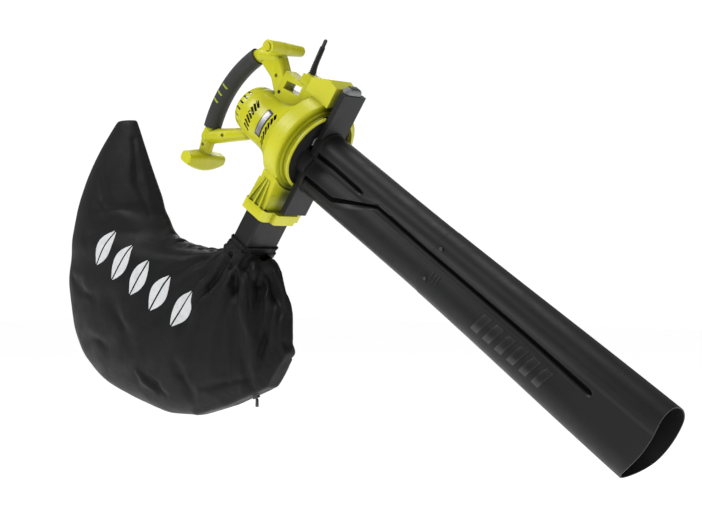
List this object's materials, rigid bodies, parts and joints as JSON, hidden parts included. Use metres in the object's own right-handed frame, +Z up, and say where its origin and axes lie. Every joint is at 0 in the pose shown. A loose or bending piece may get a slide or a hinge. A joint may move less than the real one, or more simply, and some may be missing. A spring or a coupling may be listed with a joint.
{
  "type": "leaf vacuum mulcher",
  "caption": "Hand-held electric leaf vacuum mulcher with a long twin suction tube, blower casing, looped handle, collection bag and a short mains lead.",
  "frame": {"origin": "middle of the main grip, where the right hand holds the tool", "axes": "+X horizontal and forwards towards the suction mouth, +Y to the user's left, +Z up; the motor shaft and tubes slope 34.5 degrees down towards +X in the working attitude"},
  "size_m": [1.6131, 0.242, 0.8661],
  "materials": {
    "yellow_shell": "satin lime-yellow moulded plastic",
    "black_shell": "satin black moulded plastic",
    "grip_rubber": "soft grey over-moulded rubber",
    "knob_grey": "light grey moulded plastic",
    "gate_plate": "black sliding plate",
    "badge_black": "plain dark badge plate",
    "bag_fabric": "black coated nylon",
    "zip_tape": "black zip tape",
    "zip_metal": "black painted zip metal",
    "lead_rubber": "black mains lead rubber",
    "plug_brass": "nickel plated brass",
    "screw_steel": "zinc plated steel",
    "shaft_steel": "ground steel",
    "bearing_steel": "bearing steel",
    "core_steel": "laminated steel",
    "copper_parts": "copper",
    "spring_steel": "spring steel",
    "carbon": "carbon",
    "inner_plastic": "dark moulded plastic",
    "impeller_plastic": "glass filled nylon",
    "seal_rubber": "foam rubber"
  },
  "bodies": {
    "machine": {"motor_housing_right": "yellow_shell", "motor_housing_left": "yellow_shell", "rear_vent_cap": "yellow_shell", "volute_rear_shell": "yellow_shell", "volute_front_shell": "yellow_shell", "bag_collar": "yellow_shell", "handle_right": "yellow_shell", "handle_left": "yellow_shell", "cord_box": "yellow_shell", "volute_front_cover": "black_shell", "gate_box_rear": "black_shell", "gate_box_front": "black_shell", "tube_head": "black_shell", "rear_tube": "black_shell", "front_tube": "black_shell", "grip_sleeve": "grip_rubber", "badge_plate": "badge_black", "supply_cord": "lead_rubber", "strain_relief": "lead_rubber", "plug_body": "lead_rubber", "plug_pins": "plug_brass", "housing_screws": "screw_steel", "handle_screws": "screw_steel", "collar_screws": "screw_steel", "tube_screws": "screw_steel", "rear_bearing": "bearing_steel", "front_bearing": "bearing_steel", "stator_core": "core_steel", "field_coils": "copper_parts", "brush_springs": "spring_steel", "button_spring": "spring_steel", "release_spring": "spring_steel", "carbon_brushes": "carbon", "brush_holders": "inner_plastic", "motor_bulkhead": "inner_plastic", "switch_module": "inner_plastic", "capacitor": "inner_plastic", "inner_leads": "inner_plastic", "volute_seal": "seal_rubber"},
    "rotor": {"motor_shaft": "shaft_steel", "armature": "core_steel", "commutator": "copper_parts", "cooling_fan": "inner_plastic", "impeller": "impeller_plastic", "shredder_blade": "shaft_steel", "impeller_nut": "screw_steel"},
    "power_button": {"power_button": "yellow_shell"},
    "mode_gate": {"mode_gate": "gate_plate", "selector_knob": "knob_grey"},
    "bag_release": {"bag_release_button": "yellow_shell"},
    "bag": {"bag_connector": "black_shell", "bag_cloth": "bag_fabric", "bag_clamp_band": "bag_fabric", "zipper_tape": "zip_tape", "zipper_slider": "zip_metal"},
    "zip_pull": {"zipper_pull": "zip_metal"}
  },
  "joints": [
    {"name": "rotor_spin", "type": "hinge", "parent": "machine", "child": "rotor", "pos_m": [0.2153, 0, -0.13341], "axis": [0.8241, 0, -0.5664], "continuous": true},
    {"name": "power_button_press", "type": "slide", "parent": "machine", "child": "power_button", "axis": [0, 1, 0], "range_m": [0, 0.003], "stiffness_N_per_m": 400, "springref_m": -0.002, "deforming": ["button_spring"]},
    {"name": "mode_gate_slide", "type": "slide", "parent": "machine", "child": "mode_gate", "axis": [0.5664, 0, 0.8241], "range_m": [0, 0.088]},
    {"name": "bag_release_press", "type": "slide", "parent": "machine", "child": "bag_release", "axis": [0.8241, 0, -0.5664], "range_m": [0, 0.004], "stiffness_N_per_m": 500, "springref_m": -0.002, "deforming": ["release_spring"]},
    {"name": "bag_pull_off", "type": "slide", "parent": "machine", "child": "bag", "axis": [-0.5664, 0, -0.8241], "range_m": [0, 0.09]},
    {"name": "zip_pull_swing", "type": "hinge", "parent": "bag", "child": "zip_pull", "pos_m": [0.08071, 0, -0.68214], "axis": [0, 1, 0], "range_deg": [-30, 30]}
  ]
}
